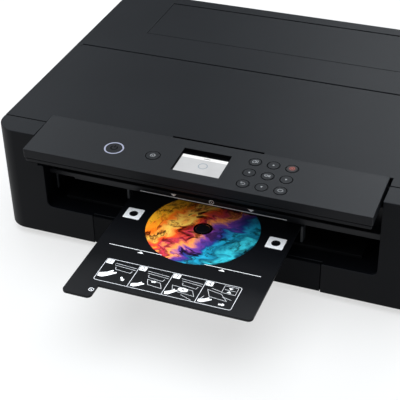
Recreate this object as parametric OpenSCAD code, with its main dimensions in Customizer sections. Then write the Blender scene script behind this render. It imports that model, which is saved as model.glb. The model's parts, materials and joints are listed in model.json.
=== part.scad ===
// Wide inkjet photo printer: moulded casing, tilting control panel, disc tray, paper cassette,
// rear sheet feed and the printing mechanism under the top cover.
// Millimetres, +Z up. The origin lies on the desk, under the middle of the printer with its disc tray out.

/* [Casing] */
// Width of the casing
body_w = 479; // [470:1:500]
// Depth of the casing, front face to back
body_d = 370; // [366:1:400]
// Height of the casing above its lower edge
body_h = 129; // [127:0.5:140]
// Wall thickness of the moulded covers
wall = 3; // [2:0.25:4]
// Radius of the front upright corners
corner_r = 24; // [12:1:30]
// Radius of the rear upright corners
rear_r = 16; // [8:1:24]
// Thickness of the base pan's floor
floor_t = 3; // [2:0.5:4]
// Height of the rubber feet
foot_h = 9; // [6:0.5:12]
// Radius of the rubber feet
foot_r = 10; // [7:0.5:12]
// Width of the seam between neighbouring covers
seam = 0.6; // [0.4:0.1:1]
// Clearance between pieces that seat in each other
fit = 0.3; // [0.2:0.05:0.4]

/* [Top and rear covers] */
// Depth of the fixed strip in front of the top cover
strip_d = 29; // [27:0.5:32]
// Depth of the top cover, from the strip to its hinge line
lid_d = 178.5; // [172:0.5:182]
// Height of the skirts of the top cover and the rear deck
skirt_h = 14; // [10:0.5:18]
// Radius of the moulded hinge barrels
barrel_r = 2.5; // [2:0.1:3]
// Radius of the hinge pins
pin_r = 1.2; // [0.8:0.1:1.4]
// Width of the finger slit in the top cover's front edge
slit_w = 102; // [60:1:140]
// Depth of the finger slit
slit_d = 3; // [2:0.5:5]
// Distance of the rear feed cover from the casing's sides
feed_in = 69.5; // [60:0.5:72]
// Length of the rear feed cover
feed_l = 88; // [82:1:90]
// Distance of the rear feed cover's hinge line from the casing's back
feed_back = 20; // [19:0.5:24]
// Width of the sliding paper support
support_w = 240; // [180:1:280]
// Length of the sliding paper support
support_l = 72; // [60:1:74]
// Width of the rear access cover
access_w = 230; // [180:1:250]
// Height of the rear access cover above its hinge line
access_h = 62; // [50:1:70]
// Height of the rear access cover's hinge line
access_z = 34; // [30:1:38]
// Width of the rear corners, from the casing's side
corner_w = 89; // [84:0.5:92]
// Distance of the mains inlet from the casing's right side
inlet_in = 34.5; // [33:0.5:40]
// Distance of the data port from the casing's left side
port_in = 39.5; // [36:0.5:42]

/* [Front opening] */
// Width of the front opening
opening_w = 373.6; // [366:0.2:384]
// Offset of the opening's middle to the right
opening_x = 4.2; // [0:0.2:6]
// Height of the opening's lower edge
sill_h = 37; // [36:0.5:40]
// Radius of the opening's lower corners
opening_r = 7; // [3:0.5:12]

/* [Control panel] */
// Width of the control panel
panel_w = 376; // [360:1:380]
// Reach of the panel in front of its hinge line
panel_reach = 63.2; // [56:0.2:66]
// Reach of the panel behind its hinge line
panel_back = 6.3; // [5:0.1:7]
// Distance of the panel's hinge line behind the front face
panel_axis_d = 36; // [35:0.5:38]
// Depth of the panel's hinge line below the casing's top
panel_drop = 8; // [7.5:0.1:9]
// Rise of the panel's face above the casing's top, over the hinge line
panel_rise = 1.2; // [0.6:0.1:2]
// Slope of the panel's face down to the front, in degrees
panel_slope = 2; // [0:0.5:4]
// Angle that the panel folds down by, in degrees
panel_fold = 30; // [20:1:32]
// Radius of the panel's corners
panel_r = 1.2; // [0.6:0.1:3]
// Height of the panel's upper shell
panel_h = 10.5; // [10:0.1:12]
// Wall thickness of the panel's shells
panel_t = 2.5; // [2:0.1:2.8]
// Thickness of the panel's lower shell
panel_base_t = 3.6; // [2:0.1:4]
// Groove between the panel's shells
panel_groove = 1.2; // [0.5:0.1:1.4]
// Height of the finger grip under the panel's front edge
grip_h = 2.4; // [1.6:0.1:2.8]
// Gap between the panel and the casing
panel_gap = 1; // [0.6:0.1:1.4]
// Radius of the panel's hinge pins
panel_pin_r = 2; // [1.5:0.1:2.2]
// Width of the display opening
lcd_w = 52; // [44:0.5:56]
// Depth of the display opening
lcd_l = 40.4; // [36:0.1:42]
// Depth of the display below the panel's face
lcd_sink = 4.2; // [3.5:0.1:4.6]
// Distance of the display's middle in front of the hinge line
lcd_ahead = 28.3; // [27.5:0.1:30]
// Radius of the keys
key_r = 6.1; // [5:0.1:6.6]
// Spacing of the keys across the panel
key_pitch_x = 19.6; // [17:0.1:22]
// Spacing of the keys along the panel
key_pitch_y = 19.7; // [17:0.1:20]
// Offset of the middle key from the panel's middle
key_x = 71.7; // [68:0.1:80]
// Distance of the middle key in front of the hinge line
key_ahead = 29.8; // [28:0.1:31]
// Gap round each key
key_gap = 0.7; // [0.4:0.1:0.9]
// Offset of the power button from the panel's middle, to the left
power_x = 96.7; // [90:0.1:120]
// Distance of the power and home buttons in front of the hinge line
power_ahead = 31.5; // [28:0.1:33]
// Radius of the power button
power_r = 8.9; // [7:0.1:9.4]
// Wall of the power button's light ring
ring_t = 1.2; // [0.8:0.1:1.6]
// Offset of the home button from the panel's middle, to the left
home_x = 52.5; // [48:0.1:60]
// Radius of the home button
home_r = 7.2; // [6:0.1:8]

/* [Disc tray] */
// Height of the disc tray's upper face above the casing's lower edge
path_h = 63.9; // [62:0.1:65]
// Thickness of the disc tray
tray_t = 3; // [2.6:0.1:3.4]
// Width of the disc tray
tray_w = 189; // [180:0.5:194]
// Offset of the disc tray's middle to the right
tray_x = 9.3; // [0:0.1:12]
// Reach of the disc tray in front of the front face
tray_front = 136; // [130:0.5:150]
// Reach of its tab beyond its front edge
tab_out = 19; // [12:0.5:24]
// Width of the tab
tab_w = 31; // [24:0.5:40]
// Reach of the disc tray behind the front face
tray_in = 104; // [90:0.5:106]
// Radius of the disc tray's corners
tray_r = 5; // [2:0.5:8]
// Distance of the disc's middle in front of the front face
disc_ahead = 16; // [10:0.5:20]
// Radius of the disc
disc_r = 60; // [58:0.1:60]
// Thickness of the disc
disc_t = 1.2; // [1:0.1:1.3]
// Radius of the disc's centre hole
disc_hole_r = 7.5; // [7:0.1:8]
// Depth of the disc's seat
seat_h = 1.5; // [1.3:0.1:1.8]
// Radius of the sensing wells
sense_r = 4.1; // [2.5:0.1:4.5]

/* [Guide bar] */
// Distance of the guide bar behind the front face
bar_set = 22.9; // [20:0.1:25]
// Depth of the guide bar
bar_d = 23; // [16:0.5:25]
// Height of the guide bar's back
bar_h = 27; // [20:0.5:28]
// Height of the guide bar's front lip
bar_lip = 7.7; // [6:0.1:9]
// Gap between the disc tray and the guide bar
bar_gap = 0.8; // [0.6:0.1:2]
// Thickness of the guide posts
post_t = 2.7; // [2.2:0.1:4]
// Gap between the disc tray and the left guide post
post_gap = 7.7; // [4:0.1:9]
// Length of the left guide post
post_left_h = 13.3; // [10:0.1:20]
// Length of the right guide post
post_right_h = 20.3; // [14:0.1:22.7]
// Length of the post at the opening's left end
post_end_h = 17.7; // [12:0.1:20]
// Thickness of the post at the opening's left end
post_end_t = 1.4; // [1:0.1:2.5]

/* [Output tray and cassette] */
// Width of the output tray
out_w = 340; // [300:1:350]
// Thickness of the output tray
out_t = 4; // [3.8:0.1:4.2]
// Distance of the output tray's front edge behind the front face
out_set = 22; // [16:0.5:24]
// Length of the output tray
out_l = 150; // [120:1:160]
// Width of its pull-out extension
ext_w = 130; // [90:1:160]
// Width of the cassette's front
cassette_w = 259; // [250:1:262]
// Offset of the cassette's middle to the right
cassette_x = 2.5; // [0:0.1:4]
// Thickness of the cassette's front plate
cassette_plate = 4; // [3:0.25:5]
// Length of the cassette
cassette_l = 306; // [300:1:316]
// Height of the cassette's side walls
cassette_h = 26; // [22:0.5:28]
// Wall thickness of the cassette
cassette_t = 2; // [1.5:0.1:2.5]
// Half the width between the cassette's side guides
sheet_half = 107; // [100:0.5:110]

/* [Mechanism] */
// Distance of the feed roller behind the front face
feed_axis = 150; // [149:0.5:151]
// Radius of the feed and eject rollers
roller_r = 8; // [7:0.1:9]
// Radius of the roller shafts
shaft_r = 4; // [3:0.1:4.5]
// Tooth size of the gears: pitch diameter over teeth
gear_m = 1; // [0.98:0.01:1.02]
// Width of the gears
gear_w = 6; // [4:0.5:8]
// Half the distance between the chassis plates
chassis_half = 196; // [195:0.5:200]
// Thickness of the chassis plates
plate_t = 1.6; // [1.2:0.1:2]
// Height of the chassis above the casing's lower edge
chassis_h = 116; // [112:0.5:117]
// Width of the carriage
carriage_w = 84; // [82:0.5:88]
// Distance of the carriage's middle from the printer's middle when parked, to the right
park_x = 150; // [146:0.5:152]
// Radius of the carriage's guide shaft
guide_r = 4; // [3:0.1:5]
// Radius of the belt pulleys
pulley_r = 5.9; // [5:0.1:6.2]
// Thickness of the drive belt
belt_t = 1.1; // [0.9:0.1:1.3]
// Width of the drive belt
belt_w = 6; // [4:0.5:6]
// Width of one ink cartridge
ink_w = 12; // [10:0.1:12.4]
// Radius of the motors
motor_r = 17; // [14:0.5:18]
// Running clearance of shafts and pins, in radius
run = 0.05; // [0.03:0.01:0.08]

/* [Hidden] */
$fn = 48;

// The front and back faces, with the tab's tip and the back as far from the origin as each other
front_y = (tray_front + tab_out - body_d) / 2;
back_y = front_y + body_d;

// Places are given as depths behind the front face and heights above the casing's lower edge
function behind(d) = front_y + d;
function above(h) = foot_h + h;

// Hinge lines of the top, feed and access covers
lid_axis_d = strip_d + lid_d;
top_axis_h = body_h - barrel_r;
deck_d = lid_axis_d + barrel_r + seam;
feed_axis_d = body_d - feed_back;
feed_front_d = feed_axis_d - feed_l;
access_axis_d = body_d - barrel_r;
// Rounded ears of the rear deck that carry the top cover's pins
ear_w = 7.5;
ear_x = body_w / 2 - ear_w;
ear_r = barrel_r + 0.8;
ear_gap = 0.6;
pin_half = 6;
// Side covers end and the rear panel starts here
rear_split_d = body_d - 52;
corner_x = body_w / 2 - corner_w;
feed_w = body_w - 2 * feed_in;
rib_reach = 5;
side_top_h = body_h - skirt_h - seam / 2;

// Sides of the front opening, and of the wider gap that the panel folds through
open_left = opening_x - opening_w / 2;
open_right = opening_x + opening_w / 2;
cheek_left = min(open_left, -panel_w / 2 - panel_gap);
cheek_right = max(open_right, panel_w / 2 + panel_gap);
notch_d = panel_axis_d + panel_back + panel_gap;
gate_half = cassette_w / 2 + seam;
gate_left = cassette_x - gate_half;
gate_right = cassette_x + gate_half;
boss_r = panel_pin_r + 2.6;

// Levels inside the control panel, measured from its hinge line, square to its face
face_w = panel_drop + panel_rise;
shell_w = face_w - panel_h;
base_w = shell_w - panel_groove;
fold_turn = panel_slope + panel_fold;
fold_h = body_h - panel_drop - panel_axis_d * tan(fold_turn)
    + (base_w - panel_base_t) / cos(fold_turn) - 1.2;
under_w = face_w - panel_t;
window_t = 1.2;
window_w = face_w - lcd_sink;
flange_t = 1.8;
flange_out = 1.4;
ring_r = power_r + 0.4 + ring_t;

// Disc tray levels and the rollers below it
tray_under = path_h - tray_t;
roller_h = tray_under - fit - roller_r;
tray_left = tray_x - tray_w / 2;
tray_right = tray_x + tray_w / 2;
hub_r = disc_hole_r - 0.1;

// Gear train on the left chassis plate
feed_teeth = 48;
transfer_teeth = 36;
eject_teeth = 48;
pinion_teeth = 16;
transfer_axis = feed_axis - gear_m * (feed_teeth + transfer_teeth) / 2;
eject_axis = transfer_axis - gear_m * (transfer_teeth + eject_teeth) / 2;
// The opening's cheeks and sill end in front of the eject roller
tunnel_d = eject_axis - roller_r - 1;
pinion_reach = gear_m * (feed_teeth + pinion_teeth) / 2;
pinion_d = feed_axis + pinion_reach * cos(45);
pinion_h = roller_h - pinion_reach * sin(45);
gear_x = -chassis_half - plate_t - 2 - gear_w;
stud_r = 3;
motor_shaft_r = 2;
motor_l = 22;

// Carriage, its shaft and its belt
head_h = path_h + 2.6;
cradle_h = head_h + 13.5;
carriage_d0 = feed_axis - 58;
carriage_d1 = feed_axis + 16;
guide_d = feed_axis + 6;
guide_h = cradle_h + 10;
belt_d = carriage_d1 + 2.5;
belt_h = guide_h + 10;
belt_x = chassis_half - 24;
belt_r = pulley_r + 0.2;
rail_d = belt_d + belt_w + 1.5;
ink_count = 6;
ink_pitch = ink_w + 1.2;
ink_l = 46;
ink_h = 34;
pinch_r = 4;
pinch_h = path_h + fit + pinch_r;
pinch_axle_r = 1.5;
pinch_half = 123;

// Output tray and cassette levels
out_h = sill_h + fit;
ext_t = 1.4;
ext_floor = 1;
ext_l = out_l - 20;
cassette_z = floor_t + 0.5;
guide_foot = 22;

// Slope of the rear feed's hopper, from its low front end to its high back end
hopper_d0 = 258;
hopper_d1 = feed_axis_d - 8;
hopper_h0 = 58;
hopper_h1 = body_h - 33;
hopper_t = 3;
hopper_lean = (hopper_h1 - hopper_h0) / (hopper_d1 - hopper_d0);
function hopper_at(d) = hopper_h0 + hopper_lean * (d - hopper_d0);

// A block given by its sides, depths and heights
module block(x0, x1, d0, d1, h0, h1) {
    translate([x0, behind(d0), above(h0)]) cube([x1 - x0, d1 - d0, h1 - h0]);
}

// A round bar across the printer
module bar_across(x0, x1, d, h, r) {
    translate([x0, behind(d), above(h)]) rotate([0, 90, 0]) cylinder(r = r, h = x1 - x0);
}

// A round bar from front to back
module bar_along(x, d0, d1, h, r) {
    translate([x, behind(d1), above(h)]) rotate([90, 0, 0]) cylinder(r = r, h = d1 - d0);
}

// A side view, drawn in depth and height, drawn out across the printer
module drawn_across(x0, x1) {
    translate([x0, behind(0), above(0)]) rotate([90, 0, 90]) linear_extrude(x1 - x0) children();
}

// The same shape on the left and on the right
module both_sides() {
    children();
    mirror([1, 0, 0]) children();
}

// A rectangle with round corners
module rounded(x0, x1, y0, y1, r) {
    translate([x0 + r, y0]) square([x1 - x0 - 2 * r, y1 - y0]);
    translate([x0, y0 + r]) square([x1 - x0, y1 - y0 - 2 * r]);
    for (x = [x0 + r, x1 - r], y = [y0 + r, y1 - r]) translate([x, y]) circle(r);
}

// The casing's outline from above, drawn in by an inset
module outline(inset = 0) {
    half = body_w / 2 - inset;
    y0 = front_y + inset;
    y1 = back_y - inset;
    rf = corner_r - inset;
    rb = rear_r - inset;
    translate([-half + rf, y0]) square([2 * (half - rf), y1 - rb - y0]);
    translate([-half, y0 + rf]) square([2 * half, y1 - rb - y0 - rf]);
    translate([-half + rb, y0 + rf]) square([2 * (half - rb), y1 - y0 - rf]);
    for (s = [-1, 1]) {
        translate([s * (half - rf), y0 + rf]) circle(rf);
        translate([s * (half - rb), y1 - rb]) circle(rb);
    }
}

// A stretch of the casing's outer wall between two depths and two heights
module wall_band(d0, d1, h0, h1) {
    intersection() {
        translate([0, 0, above(h0)]) linear_extrude(h1 - h0) difference() {
            outline();
            outline(wall);
        }
        block(-body_w, body_w, d0, d1, h0 - 1, h1 + 1);
    }
}

// A stretch of the casing's top skin between two depths
module top_band(d0, d1) {
    intersection() {
        translate([0, 0, above(body_h - wall)]) linear_extrude(wall) outline();
        block(-body_w, body_w, d0, d1, 0, body_h + 1);
    }
}

// Base pan: the floor of the casing, with the runners that guide the cassette
module base_pan() color("#1b1c1f") {
    difference() {
        translate([0, 0, above(0)]) linear_extrude(floor_t) outline(wall + fit);
        block(gate_left, gate_right, 0, cassette_plate + seam, -1, floor_t + 1);
    }
    for (x = [gate_left - 3, gate_right]) block(x, x + 3, 14, cassette_l + 6, floor_t, floor_t + 12);
    block(gate_left - 3, gate_right + 3, cassette_l + 3, cassette_l + 6, floor_t, floor_t + 12);
}

// Rubber feet under the base pan
module rubber_feet() color("#111214") {
    for (s = [-1, 1], d = [36, body_d - 36])
        translate([s * (body_w / 2 - 40), behind(d), 0])
            cylinder(r1 = foot_r - 1, r2 = foot_r, h = foot_h);
}

// Front opening as seen from the front, with round lower corners
module opening_shape() {
    translate([open_left + opening_r, sill_h]) square([opening_w - 2 * opening_r, body_h]);
    translate([open_left, sill_h + opening_r]) square([opening_w, body_h]);
    for (x = [open_left + opening_r, open_right - opening_r])
        translate([x, sill_h + opening_r]) circle(opening_r);
}

// Front frame: the columns, the cassette's flanks, the strips beside the panel and the opening's cheeks
module front_frame() color("#26282c") {
    difference() {
        union() {
            wall_band(-1, strip_d - seam / 2, 0, body_h);
            top_band(-1, strip_d - seam / 2);
            block(cheek_left - wall, cheek_right + wall, wall - 1, tunnel_d, sill_h - wall, sill_h);
            for (x = [cheek_left - wall, cheek_right])
                block(x, x + wall, wall - 1, tunnel_d, sill_h - wall, body_h - wall - seam);
            for (x = [cheek_left - wall - 2, cheek_right + wall])
                bar_across(x, x + 2, panel_axis_d, body_h - panel_drop, boss_r);
        }
        translate([0, behind(wall + 0.1), above(0)]) rotate([90, 0, 0])
            linear_extrude(wall + 1) opening_shape();
        block(cheek_left, cheek_right, -1, tunnel_d + 1, fold_h, body_h + 1);
        block(gate_left, gate_right, -1, cassette_plate + seam, -1, sill_h + 1);
        bar_across(-body_w, body_w, panel_axis_d, body_h - panel_drop, panel_pin_r);
    }
}

// Side cover with its stiffening ribs
module side_cover(side) color("#2a2b2f") {
    intersection() {
        union() {
            wall_band(strip_d + seam / 2, rear_split_d - seam / 2, 0, side_top_h);
            for (d = [strip_d + 12 : 62 : rear_split_d - 12])
                both_sides()
                    block(body_w / 2 - wall - rib_reach, body_w / 2 - 1, d, d + 2,
                        floor_t + fit, side_top_h - 4);
        }
        block(side > 0 ? 0 : -body_w, side > 0 ? body_w : 0, 0, body_d, -1, body_h);
    }
}

module side_cover_left() side_cover(-1);
module side_cover_right() side_cover(1);

// Rear panel between the rear corners, with the access opening and its hinge bosses
module rear_panel() color("#232427") {
    half = access_w / 2 + seam;
    difference() {
        union() {
            intersection() {
                wall_band(rear_split_d + seam / 2, body_d + 1, 0, side_top_h);
                block(-corner_x, corner_x, 0, body_d + 1, -1, body_h);
            }
            both_sides() block(half, half + 8, body_d - 8, body_d - 1, access_z - 5, access_z + 5);
        }
        block(-half, half, body_d - wall - 1, body_d + 1,
            access_z - barrel_r - seam, access_z + access_h + seam);
        bar_across(-half - pin_half, half + pin_half, access_axis_d, access_z, pin_r);
    }
}

// One rear corner of the casing
module rear_corner(side) {
    intersection() {
        wall_band(rear_split_d + seam / 2, body_d + 1, 0, side_top_h);
        block(side > 0 ? corner_x + seam : -body_w, side > 0 ? body_w : -corner_x - seam, 0, body_d + 1,
            -1, body_h);
    }
}

// Left rear corner with the cut-outs for the ports
module rear_corner_left() color("#232427") difference() {
    rear_corner(-1);
    for (p = ports) block(p[0] - p[1] / 2 - fit, p[0] + p[1] / 2 + fit, body_d - wall - 1, body_d + 1,
        port_z - fit, port_z + p[2] + fit);
}

// Right rear corner with the cut-out for the mains inlet and the moulded louvres
module rear_corner_right() color("#232427") difference() {
    rear_corner(1);
    block(inlet_x - inlet_w / 2 - fit, inlet_x + inlet_w / 2 + fit, body_d - wall - 1, body_d + 1,
        inlet_z - inlet_h / 2 - fit, inlet_z + inlet_h / 2 + fit);
    for (x = [corner_x + 8 : 8 : body_w / 2 - rear_r - 4])
        block(x, x + 4, body_d - wall / 2, body_d + 1, inlet_z + inlet_h / 2 + 37, side_top_h - 12);
}

// Rear deck: the fixed top behind the top cover, with the feed opening and the hinge ears
module rear_deck() color("#303135") {
    half = feed_w / 2;
    difference() {
        union() {
            top_band(deck_d, body_d + 1);
            wall_band(deck_d, body_d + 1, body_h - skirt_h + seam / 2, body_h);
            both_sides() {
                bar_across(ear_x + 0.2, body_w / 2, lid_axis_d, top_axis_h, ear_r);
                block(ear_x + 0.2, body_w / 2, lid_axis_d, deck_d + 1, body_h - skirt_h + seam / 2, body_h);
                block(half, half + 8, feed_axis_d - 5, feed_axis_d + 5, body_h - 8, body_h);
            }
        }
        block(-body_w, body_w, lid_axis_d - 20, body_d, body_h, body_h + 5);
        block(-half, half, feed_front_d, feed_axis_d + barrel_r + seam, body_h - wall - 6, body_h + 1);
        bar_across(-half - pin_half, half + pin_half, feed_axis_d, top_axis_h, pin_r);
        both_sides() bar_across(ear_x - 1, ear_x + pin_half, lid_axis_d, top_axis_h, pin_r);
    }
}

// Top cover: full-width lid with a skirt, a notch for the panel's back and a moulded hinge barrel
module top_cover() color("#303135") {
    difference() {
        union() {
            top_band(strip_d + seam / 2, lid_axis_d);
            wall_band(strip_d + seam / 2, lid_axis_d - fit, body_h - skirt_h + seam / 2, body_h);
            bar_across(-ear_x + 0.2, ear_x - 0.2, lid_axis_d, top_axis_h, barrel_r);
            for (d = [80 : 40 : 160]) block(-ear_x, ear_x, d, d + 2, body_h - wall - 3, body_h - 1);
            both_sides() block(panel_w / 2 + 8, panel_w / 2 + 10, 50, 190, body_h - wall - 3, body_h - 1);
        }
        block(cheek_left, cheek_right, 0, notch_d, 0, body_h + 1);
        block(opening_x - slit_w / 2, opening_x + slit_w / 2, 0, notch_d + slit_d, 0, body_h + 1);
        both_sides() bar_across(ear_x - 0.2, body_w, lid_axis_d, top_axis_h, ear_r + ear_gap);
        both_sides() bar_across(ear_x - pin_half - 1, ear_x, lid_axis_d, top_axis_h, pin_r + run);
    }
}

// Steel pins of the four hinges
module hinge_pins() color("#b4b6b8") {
    both_sides() {
        bar_across(ear_x - pin_half, ear_x + pin_half, lid_axis_d, top_axis_h, pin_r);
        bar_across(feed_w / 2 - pin_half, feed_w / 2 + pin_half, feed_axis_d, top_axis_h, pin_r);
        bar_across(access_w / 2 - pin_half, access_w / 2 + pin_half, access_axis_d, access_z, pin_r);
    }
    bar_across(cheek_left - wall - 2, -panel_w / 2 + 9, panel_axis_d, body_h - panel_drop, panel_pin_r);
    bar_across(panel_w / 2 - 9, cheek_right + wall + 2, panel_axis_d, body_h - panel_drop, panel_pin_r);
}

// Rear feed cover with the channels that the paper support slides in
module rear_feed_cover() color("#303135") {
    half = feed_w / 2 - seam;
    lip = support_w / 2 + fit;
    lip_h = body_h - wall - 5.6;
    difference() {
        union() {
            block(-half, half, feed_front_d + seam, feed_axis_d, body_h - wall, body_h);
            bar_across(-half, half, feed_axis_d, top_axis_h, barrel_r);
            both_sides() {
                block(lip, lip + 3, feed_front_d + 8, feed_axis_d - 6, lip_h, body_h - 1);
                block(lip - 5, lip + 3, feed_front_d + 8, feed_axis_d - 6, lip_h, lip_h + 1.2);
            }
        }
        both_sides() bar_across(half - pin_half - 1, half + 1, feed_axis_d, top_axis_h, pin_r + run);
    }
}

// Paper support that slides out of the feed cover
module paper_support() color("#1e1f22") {
    d1 = feed_axis_d - 8;
    difference() {
        block(-support_w / 2, support_w / 2, d1 - support_l, d1, body_h - wall - 4, body_h - wall - 1);
        block(-30, 30, d1 - support_l - 1, d1 - support_l + 9, body_h - wall - 5, body_h - wall);
    }
}

// Hopper: sloping bed of the rear feed, on two legs that stand on the base pan
module hopper() color("#17181a") {
    drawn_across(-feed_w / 2 + 2, feed_w / 2 - 2) polygon([
        [hopper_d0, hopper_h0], [hopper_d1, hopper_h1],
        [hopper_d1, hopper_h1 - hopper_t], [hopper_d0, hopper_h0 - hopper_t]]);
    both_sides() drawn_across(feed_w / 2 - 5, feed_w / 2 - 2) polygon([
        [hopper_d0, hopper_h0 - 1], [hopper_d1, hopper_h1 - 1],
        [hopper_d1, floor_t], [hopper_d0, floor_t]]);
}

// Edge guide of the rear feed: a fence on a foot that slides across the hopper
module feed_guide(side) color("#24262a") {
    d0 = hopper_d0 + 14;
    d1 = hopper_d1 - 10;
    x = side * sheet_half;
    h0 = hopper_at(d0);
    h1 = hopper_at(d1);
    drawn_across(min(x, x + side * 3), max(x, x + side * 3))
        polygon([[d0, h0 + fit], [d1, h1 + fit], [d1, h1 + 15], [d0 + 4, h0 + 17]]);
    drawn_across(min(x, x - side * 20), max(x, x - side * 20))
        polygon([[d0, h0 + fit], [d1, h1 + fit], [d1, h1 + 2], [d0, h0 + 2]]);
}

module feed_guide_left() feed_guide(-1);
module feed_guide_right() feed_guide(1);

// Rear access cover on its moulded hinge barrel
module rear_access_cover() color("#232427") {
    half = access_w / 2;
    difference() {
        union() {
            block(-half, half, body_d - wall, body_d, access_z, access_z + access_h);
            bar_across(-half, half, access_axis_d, access_z, barrel_r);
            for (x = [-half + 10 : (2 * half - 22) / 4 : half - 10])
                block(x, x + 2, body_d - wall - 4, body_d - 1, access_z + 8, access_z + access_h - 6);
        }
        block(-24, 24, body_d - 1.4, body_d + 1, access_z + access_h - 12, access_z + access_h + 1);
        both_sides() bar_across(half - pin_half - 1, half + 1, access_axis_d, access_z, pin_r + run);
    }
}

// Power inlet and ports, as seen from behind
inlet_x = body_w / 2 - inlet_in;
inlet_z = 26;
inlet_w = 26;
inlet_h = 18;
port_z = 22;
ports = [[-body_w / 2 + port_in, 15, 16], [-body_w / 2 + port_in + 24, 17, 14]];

// Places a shape in the frame of the tilted panel, with its hinge line as X
module on_panel() {
    translate([0, behind(panel_axis_d), above(body_h - panel_drop)]) rotate([panel_slope, 0, 0]) children();
}

// A flat slab of the panel between two levels
module panel_slab(w0, w1, inset) {
    translate([0, 0, w0]) linear_extrude(w1 - w0)
        rounded(-panel_w / 2 + inset, panel_w / 2 - inset, -panel_reach + inset, panel_back - inset,
            panel_r);
}

// Middle of a key of the three by three field, by column and row
function key_place(column, row) = [key_x + column * key_pitch_x, -key_ahead + row * key_pitch_y];

// Upper shell of the panel: face, walls, key holes and the sunk frame of the display
module panel_shell() color("#47494d") on_panel() {
    difference() {
        union() {
            difference() {
                panel_slab(shell_w, face_w, 0);
                panel_slab(shell_w - 1, under_w, panel_t);
            }
            translate([-lcd_w / 2 - 1.5, -lcd_ahead - lcd_l / 2 - 1.5, window_w])
                cube([lcd_w + 3, lcd_l + 3, lcd_sink]);
        }
        translate([-lcd_w / 2, -lcd_ahead - lcd_l / 2, shell_w]) cube([lcd_w, lcd_l, panel_h + 1]);
        for (c = [-1 : 1], r = [-1 : 1]) translate(key_place(c, r))
            translate([0, 0, shell_w]) cylinder(r = key_r + key_gap, h = panel_h + 1);
        translate([-power_x, -power_ahead, shell_w]) cylinder(r = ring_r + 0.1, h = panel_h + 1);
        translate([-home_x, -power_ahead, shell_w]) cylinder(r = home_r + key_gap, h = panel_h + 1);
        both_sides() translate([panel_w / 2 - panel_t - 1, -panel_pin_r - 0.6, shell_w - 1])
            cube([panel_t + 2, 2 * panel_pin_r + 1.2, panel_pin_r + 1.6 - shell_w]);
    }
}

// Lower shell of the panel, with the lip that locates the upper shell, a finger grip and the hinge ears
module panel_base() color("#303136") on_panel() {
    ear = panel_pin_r + 1.8;
    difference() {
        union() {
            panel_slab(base_w - panel_base_t, base_w, 1);
            difference() {
                panel_slab(base_w - 1, shell_w + 3, panel_t + fit);
                panel_slab(base_w - 2, shell_w + 4, panel_t + fit + 1.6);
            }
            translate([-panel_w / 2 + 4, -panel_reach + 3, base_w - panel_base_t - grip_h])
                cube([panel_w - 8, 7, grip_h + 1]);
            both_sides() translate([panel_w / 2 - 10, -ear, base_w - 1])
                cube([10 - panel_t - fit, 2 * ear - 1, ear + 1 - base_w]);
            translate([-lcd_w / 2, -lcd_ahead - lcd_l / 2, base_w - 1])
                cube([lcd_w, lcd_l, window_w - window_t - 4.4 - base_w + 1]);
        }
        both_sides() translate([panel_w / 2 - 12, 0, 0]) rotate([0, 90, 0])
            cylinder(r = panel_pin_r + run, h = 20);
    }
}

// Display module under its window
module lcd_module() color("#d8dadd") on_panel() {
    translate([-lcd_w / 2 + 0.5, -lcd_ahead - lcd_l / 2 + 0.5, window_w - window_t - 4.3])
        cube([lcd_w - 1, lcd_l - 1, 4.2]);
}

module lcd_window() color("#1a1b1e") on_panel() {
    translate([-lcd_w / 2 - 1.4, -lcd_ahead - lcd_l / 2 - 1.4, window_w - window_t])
        cube([lcd_w + 2.8, lcd_l + 2.8, window_t - 0.1]);
}

// Light ring round the power button, held by a flange under the face
module power_ring() color("#cfe0f4") on_panel() translate([-power_x, -power_ahead, 0]) {
    difference() {
        union() {
            translate([0, 0, under_w - 3]) cylinder(r = ring_r, h = panel_t + 3);
            translate([0, 0, under_w - 2.1]) cylinder(r = ring_r + 1.5, h = 2);
        }
        translate([0, 0, under_w - 4]) cylinder(r = ring_r - ring_t, h = panel_t + 5);
    }
}

// A round key: a cap in its hole, with a flange below the face
module key_cap(place, r, depth) {
    on_panel() translate(place) {
        translate([0, 0, under_w - depth - flange_t]) cylinder(r = r, h = flange_t + depth + panel_t + 0.2);
        translate([0, 0, under_w - depth - flange_t]) cylinder(r = r + flange_out, h = flange_t);
    }
}

module power_button() color("#3a3b3f") key_cap([-power_x, -power_ahead], power_r, 3 + fit);
module home_key() color("#3f4145") key_cap([-home_x, -power_ahead], home_r, fit);
module key_copies() color("#3f4145") key_cap(key_place(-1, 1), key_r, fit);
module key_up() color("#3f4145") key_cap(key_place(0, 1), key_r, fit);
module key_stop() color("#8a3b36") key_cap(key_place(1, 1), key_r, fit);
module key_left() color("#3f4145") key_cap(key_place(-1, 0), key_r, fit);
module key_ok() color("#3f4145") key_cap(key_place(0, 0), key_r, fit);
module key_right() color("#3f4145") key_cap(key_place(1, 0), key_r, fit);
module key_back() color("#3f4145") key_cap(key_place(-1, -1), key_r, fit);
module key_down() color("#3f4145") key_cap(key_place(0, -1), key_r, fit);
module key_start() color("#3f4145") key_cap(key_place(1, -1), key_r, fit);

// Guide bar across the opening, a channel with a high back: the disc tray passes below it
module guide_bar() color("#1f2125") {
    h0 = path_h + bar_gap;
    h1 = h0 + bar_h;
    lip = h0 + bar_lip;
    d1 = bar_set + bar_d;
    difference() {
        drawn_across(cheek_left + 0.2, cheek_right - 0.2) polygon([
            [bar_set + 0.6, h0], [bar_set, h0 + 0.6], [bar_set, lip - 0.6], [bar_set + 0.6, lip],
            [bar_set + 3, lip], [bar_set + 3, h0 + 3], [d1 - 3, h0 + 3], [d1 - 3, h1], [d1, h1],
            [d1, h0]]);
        block(cheek_left, cheek_left + 31, bar_set - 1, d1 + 1, h0 - 1, h0 + 2.2);
    }
}

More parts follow.
